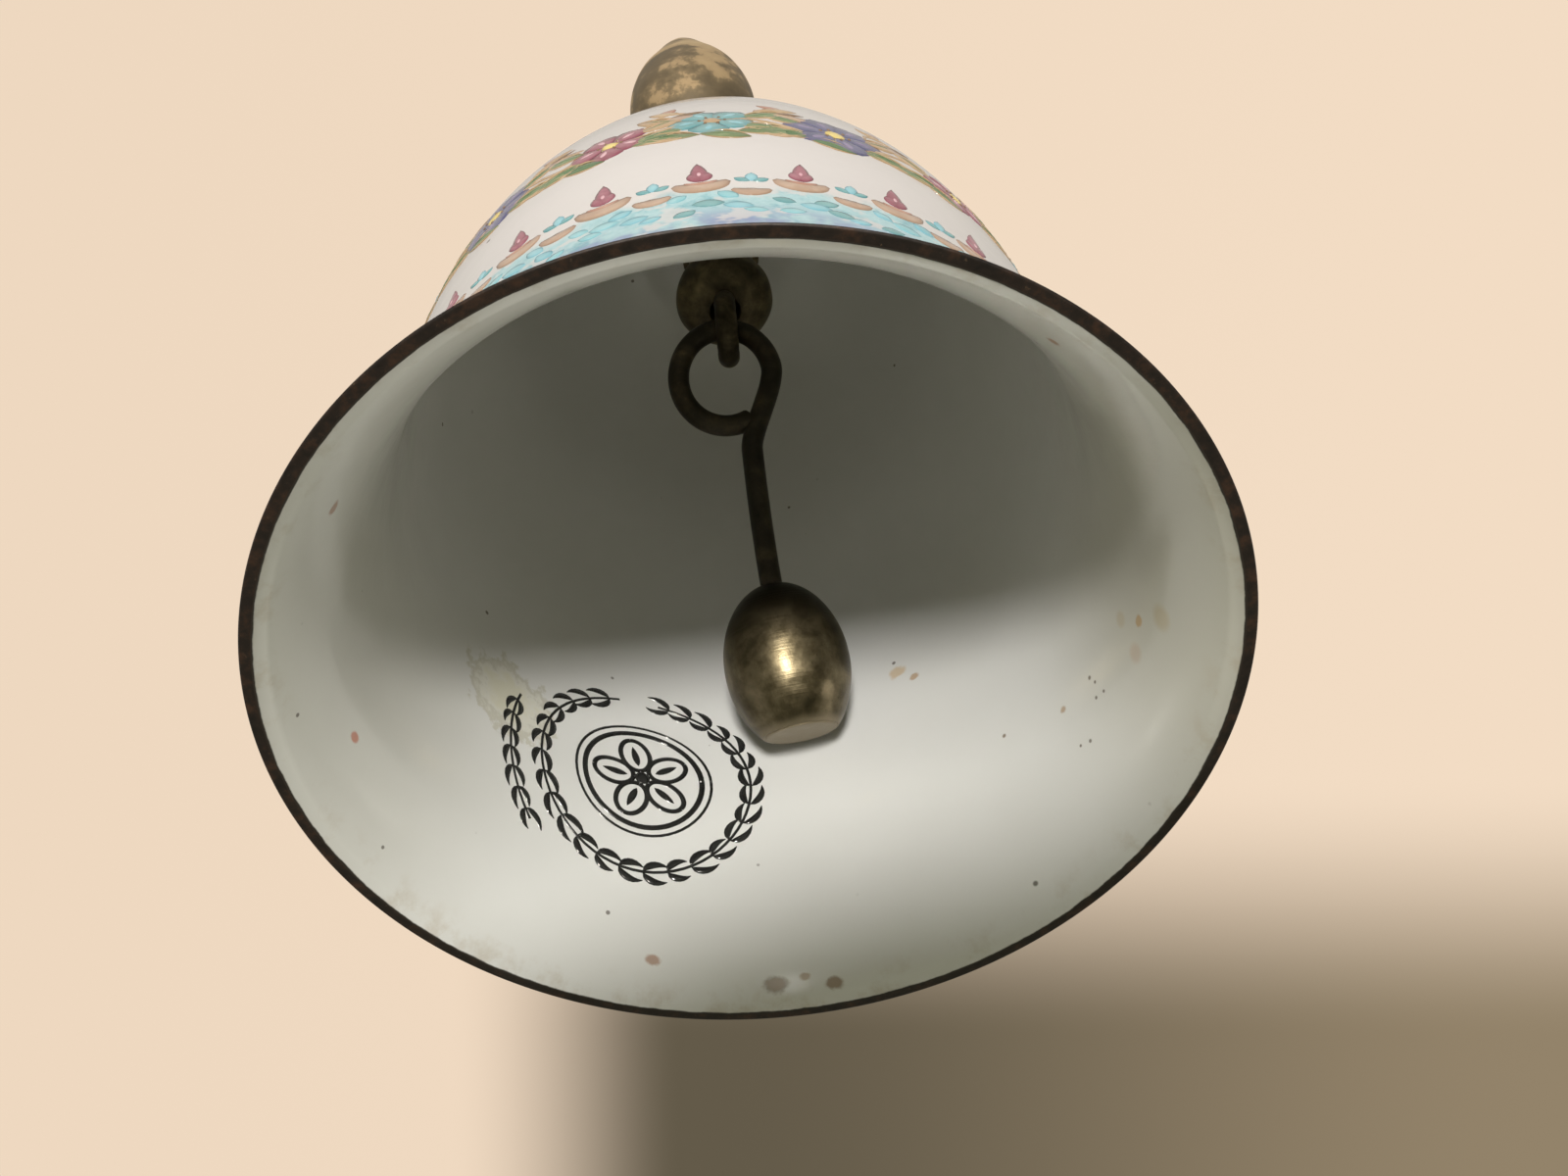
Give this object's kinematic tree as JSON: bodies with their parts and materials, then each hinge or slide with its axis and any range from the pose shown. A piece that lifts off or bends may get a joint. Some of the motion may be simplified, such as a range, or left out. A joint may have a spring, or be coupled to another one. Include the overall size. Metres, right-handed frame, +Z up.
{
  "type": "hand bell",
  "caption": "Small enamelled sheet-metal table bell with a turned brass handle and a swinging wire-hung clapper.",
  "frame": {"origin": "centre of the mouth, in the plane of the rim that the bell stands on", "axes": "+Z up along the bell's axis, from the mouth to the top of the handle; the clapper swings in the Y-Z plane and at rest leans towards +Y"},
  "size_m": [0.062, 0.062, 0.1284],
  "materials": {
    "enamel": "glossy white vitreous enamel on sheet metal, with painted flower band and scalloped border outside, bare dark rim edge",
    "handle_brass": "turned brass with a mottled brown patina",
    "washer_brass": "satin, tarnished",
    "stud_steel": "plain steel thread",
    "boss_brass": "nearly black oxidised brass",
    "wire_dark": "nearly black oxidised wire",
    "bead_brass": "dull bronze-coloured brass, worn flat end"
  },
  "bodies": {
    "bell": {"bell_shell": "enamel", "handle": "handle_brass", "foot_washer": "washer_brass", "inner_washer": "washer_brass", "tie_stud": "stud_steel", "clapper_boss": "boss_brass", "clapper_eye": "boss_brass"},
    "clapper": {"clapper_wire": "wire_dark", "clapper_bead": "bead_brass"}
  },
  "joints": [
    {"name": "clapper_swing", "type": "hinge", "parent": "bell", "child": "clapper", "pos_m": [0, 0, 0.0495], "axis": [1, 0, 0], "range_deg": [-70, 1]}
  ]
}
